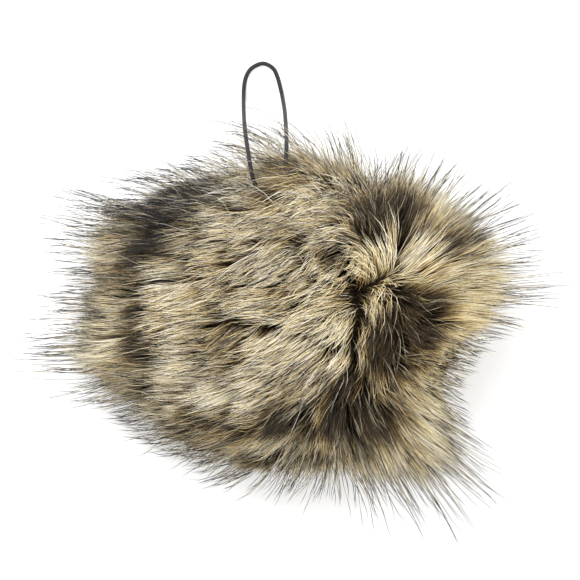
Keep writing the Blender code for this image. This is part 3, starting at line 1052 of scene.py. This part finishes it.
    # The elastic presses the pile down, and nothing goes below the floor
    made = graph.node("GeometryNodeObjectInfo", Object=given["Pressing line"])
    made = graph.node(
        "GeometryNodeProximity",
        {"target_element": "EDGES"},
        Target=graph.out(made, "Geometry"),
        Source_Position=point,
    )
    line = graph.out(made, "Position")
    beside = graph.vector("LENGTH", (point - line) * (1.0, 1.0, 0.0))
    pressed = 1.0 - graph.smooth(beside, *PRESSED_WIDTH)
    parts = graph.node("ShaderNodeSeparateXYZ", Vector=point)
    x, y, z = (graph.out(parts, axis) for axis in "XYZ")
    line_z = graph.out(graph.node("ShaderNodeSeparateXYZ", Vector=line), "Z") - PRESSED_DEPTH
    z = graph.mix(z, graph.math("MINIMUM", z, line_z), pressed)
    soft_z = graph.math("SMOOTH_MAX", z, FLOOR_CLEAR, FLOOR_SOFTNESS)
    resting = graph.out(graph.node("ShaderNodeCombineXYZ", X=x, Y=y, Z=soft_z))
    made = graph.node("GeometryNodeSetPosition", Geometry=strands, Position=resting)
    strands = graph.out(made)

    # Bake map: lightness across, in a third each for grey, golden and black-tipped strands;
    # place along the strand upwards
    column = named(graph, "column") + (across + aside * MAP_SKEW) * MAP_STRAND_WIDTH
    upwards = along * (1.0 - 2 * MAP_MARGIN) + MAP_MARGIN
    map_place = graph.out(graph.node("ShaderNodeCombineXYZ", X=column, Y=upwards))
    strands = stored(graph, strands, "OFBake", map_place, "FLOAT2", "CORNER")
    made = graph.node("GeometryNodeSetShadeSmooth", {"domain": "FACE"}, Geometry=strands)
    made = graph.node(
        "GeometryNodeSetMaterial", Geometry=graph.out(made), Material=given["Material"]
    )
    leave = tree.nodes.new("NodeGroupOutput")
    tree.links.new(made.outputs[0], leave.inputs[0])
    return tree


def grow_pile(tree, skin, press, finish, name, numbers):
    """One layer of pile as a plain mesh."""
    values = {row[0]: number for row, number in zip(PILE_INPUTS, numbers)}
    values["Strands"] /= sum(polygon.area for polygon in skin.polygons)
    values["Pressing line"] = press
    values["Material"] = finish
    grower = placed("grower", skin)
    modifier = grower.modifiers.new("pile", "NODES")
    modifier.node_group = tree
    for item in tree.interface.items_tree:
        if item.in_out == "INPUT" and item.name in values:
            modifier[item.identifier] = values[item.name]
    evaluated = grower.evaluated_get(bpy.context.evaluated_depsgraph_get())
    data = bpy.data.meshes.new_from_object(evaluated)
    bpy.data.objects.remove(grower)
    data.name = name
    data.materials.clear()
    data.materials.append(finish)
    for passing in [layer.name for layer in data.attributes if layer.name not in KEPT_LAYERS]:
        layer = data.attributes[passing]
        if not layer.is_required and not layer.is_internal:
            data.attributes.remove(layer)
    return placed(name, data)


def surface(name, roughness, **constants):
    """A material, its graph and its Principled shader, with its even values set."""
    made = bpy.data.materials.new(name)
    made.use_nodes = True
    shader = made.node_tree.nodes["Principled BSDF"]
    shader.inputs["Roughness"].default_value = roughness
    for socket, value in constants.items():
        shader.inputs[socket.replace("_", " ")].default_value = value
    return made, Graph(made.node_tree), shader


def ramp(graph, value, stops):
    """A colour that runs through the stops."""
    made = graph.tree.nodes.new("ShaderNodeValToRGB")
    elements = made.color_ramp.elements
    elements[0].position = stops[0][0]
    elements[1].position = stops[-1][0]
    for place, _colour in stops[1:-1]:
        elements.new(place)
    for element, (_place, colour) in zip(elements, stops):
        element.color = (*colour, 1.0)
    graph.tree.links.new(value.socket, made.inputs["Fac"])
    return graph.out(made, "Color")


def mixed_colour(graph, a, b, share):
    made = graph.node(
        "ShaderNodeMix", {"data_type": "RGBA"}, Factor_Float=share, A_Color=a, B_Color=b
    )
    return graph.out(made, "Result_Color")


def grain(graph, place, scale, detail):
    made = graph.node("ShaderNodeTexNoise", Vector=place, Scale=scale, Detail=detail)
    return graph.out(made, "Fac")


def dress(graph, shader, colour, **bump):
    """Gives a shader its colour, and a bump where one is told."""
    graph.tree.links.new(colour.socket, shader.inputs["Base Color"])
    if bump:
        made = graph.node("ShaderNodeBump", **bump)
        graph.tree.links.new(made.outputs["Normal"], shader.inputs["Normal"])


def pile_finish(kind):
    """Modacrylic pile: dark roots that turn gold and cream towards the ends, with fine streaks from strand
    to strand. The roots' darkness is partly the pile's own colour and partly painted shade of the deep pile.
    Some strands end in black."""
    made, graph, shader = surface(f"{kind} pile", roughness=0.48, Specular_IOR_Level=0.22)
    spot = graph.node("ShaderNodeUVMap", {"uv_map": "OFBake"})
    parts = graph.node("ShaderNodeSeparateXYZ", Vector=graph.out(spot))
    column, along = graph.out(parts, "X"), graph.out(parts, "Y")
    not_grey = graph.math("GREATER_THAN", column, 1.0 / FAMILIES)
    sable = graph.math("GREATER_THAN", column, 2.0 / FAMILIES)
    light = column * FAMILIES - not_grey - sable - UNSHIFTED_LIGHT
    shifted = along + light * BAND_SHIFT
    grey, gold = (
        ramp(graph, shifted, [(stop[0], stop[family]) for stop in PILE_BANDS[kind]])
        for family in (1, 2)
    )
    colour = mixed_colour(graph, grey, gold, not_grey)
    black_tipped = ramp(graph, along - light * SABLE_SHIFT, SABLE_BANDS)
    colour = mixed_colour(graph, colour, black_tipped, sable)
    dress(graph, shader, colour)
    return made


def skin_finish():
    """Backing cloth of the fur, dark brown, with the stubble of the pile's roots."""
    made, graph, shader = surface("fur backing", roughness=0.9, Specular_IOR_Level=0.1)
    place = graph.out(graph.node("ShaderNodeTexCoord"), "Object")
    stubble = grain(graph, place, STUBBLE_SCALE, 3.0)
    dark = mixed_colour(graph, *BACKING_BROWNS, grain(graph, place, BLOTCH_SCALE, 2.0))
    colour = mixed_colour(graph, dark, STUBBLE_COLOUR, graph.smooth(stubble, *STUBBLE_BAND))
    dress(graph, shader, colour, Strength=0.6, Distance=0.0004, Height=stubble)
    return made


def elastic_finish():
    """Round cord elastic: a black knitted cover over a rubber core."""
    made, graph, shader = surface("cord elastic", roughness=0.60, Specular_IOR_Level=0.30)
    place = graph.out(graph.node("ShaderNodeTexCoord"), "Object")
    knit = grain(graph, place, KNIT_SCALE, 2.0)
    colour = mixed_colour(graph, *ELASTIC_BLACKS, knit)
    dress(graph, shader, colour, Strength=0.35, Distance=0.0001, Height=knit)
    return made


def loop_points(count):
    """The elastic's middle, read evenly from a smooth curve through its route."""
    last = len(LOOP_ROUTE) - 1
    points = []
    for step in range(count):
        place = last * step / (count - 1)
        index = min(int(place), last - 1)
        share = place - index
        p0, p1, p2, p3 = (
            Vector(LOOP_ROUTE[min(max(index + k, 0), last)]) for k in (-1, 0, 1, 2)
        )
        points.append(
            0.5
            * (
                2 * p1
                + (p2 - p0) * share
                + (2 * p0 - 5 * p1 + 4 * p2 - p3) * share**2
                + (3 * p1 - p0 - 3 * p2 + p3) * share**3
            )
        )
    return points


def pressing_line():
    """The middle of the loop's left leg, which lies on the pile."""
    points = loop_points(len(LOOP_ROUTE))[:PRESSING_POINTS]
    data = bpy.data.meshes.new("pressing_line")
    data.from_pydata(points, [(k, k + 1) for k in range(len(points) - 1)], [])
    return placed("pressing_line", data)


def elastic_loop():
    curve = bpy.data.curves.new("elastic", "CURVE")
    curve.dimensions = "3D"
    curve.bevel_depth = ELASTIC_DIAMETER / 2
    curve.bevel_resolution = 4
    curve.use_fill_caps = True
    spline = curve.splines.new("POLY")
    points = loop_points(ELASTIC_POINTS)
    spline.points.add(len(points) - 1)
    for target, point in zip(spline.points, points):
        target.co = (*point, 1.0)
    curve.materials.append(elastic_finish())
    loop = placed("elastic", curve)
    length = sum((b - a).length for a, b in zip(points, points[1:]))
    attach(loop, "root")
    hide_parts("loop")


def place_camera():
    data = bpy.data.cameras.new("camera")
    data.lens = LENS
    data.sensor_width = SENSOR
    seen = PICTURE_PIXELS * PIXEL
    height = SUBJECT_HEIGHT + seen * LENS / SENSOR
    camera = placed("camera", data)
    camera.location = (*PICTURE_MIDDLE, height)
    bpy.context.scene.camera = camera


def light_panel(name, place, size, power):
    data = bpy.data.lights.new(name, "AREA")
    data.shape = "SQUARE"
    data.size = size
    data.energy = power
    panel = placed(name, data)
    panel.location = place
    panel.rotation_euler = (Vector(LIGHT_AIM) - Vector(place)).to_track_quat("-Z", "Y").to_euler()


def studio():
    """A plain pale floor and soft light from above."""
    mesh = bmesh.new()
    bmesh.ops.create_grid(mesh, x_segments=1, y_segments=1, size=FLOOR_SIZE)
    data = bpy.data.meshes.new("floor")
    mesh.to_mesh(data)
    mesh.free()
    finish, _graph, shader = surface("floor", roughness=0.9, Specular_IOR_Level=0.0)
    shader.inputs["Base Color"].default_value = FLOOR_COLOUR
    data.materials.append(finish)
    floor = placed("floor", data)
    world = bpy.data.worlds.new("studio")
    world.use_nodes = True
    background = world.node_tree.nodes["Background"]
    background.inputs["Color"].default_value = (1.0, 1.0, 1.0, 1.0)
    background.inputs["Strength"].default_value = SKY_STRENGTH
    bpy.context.scene.world = world
    for row in LIGHTS:
        light_panel(*row)
    bpy.context.scene.view_settings.view_transform = "Standard"


place_camera()
elastic_loop()
skin_data = skin_mesh()
skin_data.materials.append(skin_finish())
skin = placed("fur_ball", skin_data)
tree = pile_tree()
finishes = {kind: pile_finish(kind) for kind in PILE_BANDS}
press = pressing_line()
for name, kind, numbers in PILES:
    pile = grow_pile(tree, skin_data, press, finishes[kind], name, numbers)
    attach(pile, "root")
    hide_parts("pom")
bpy.data.objects.remove(press)
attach(skin, "root")
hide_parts("pom")
studio()
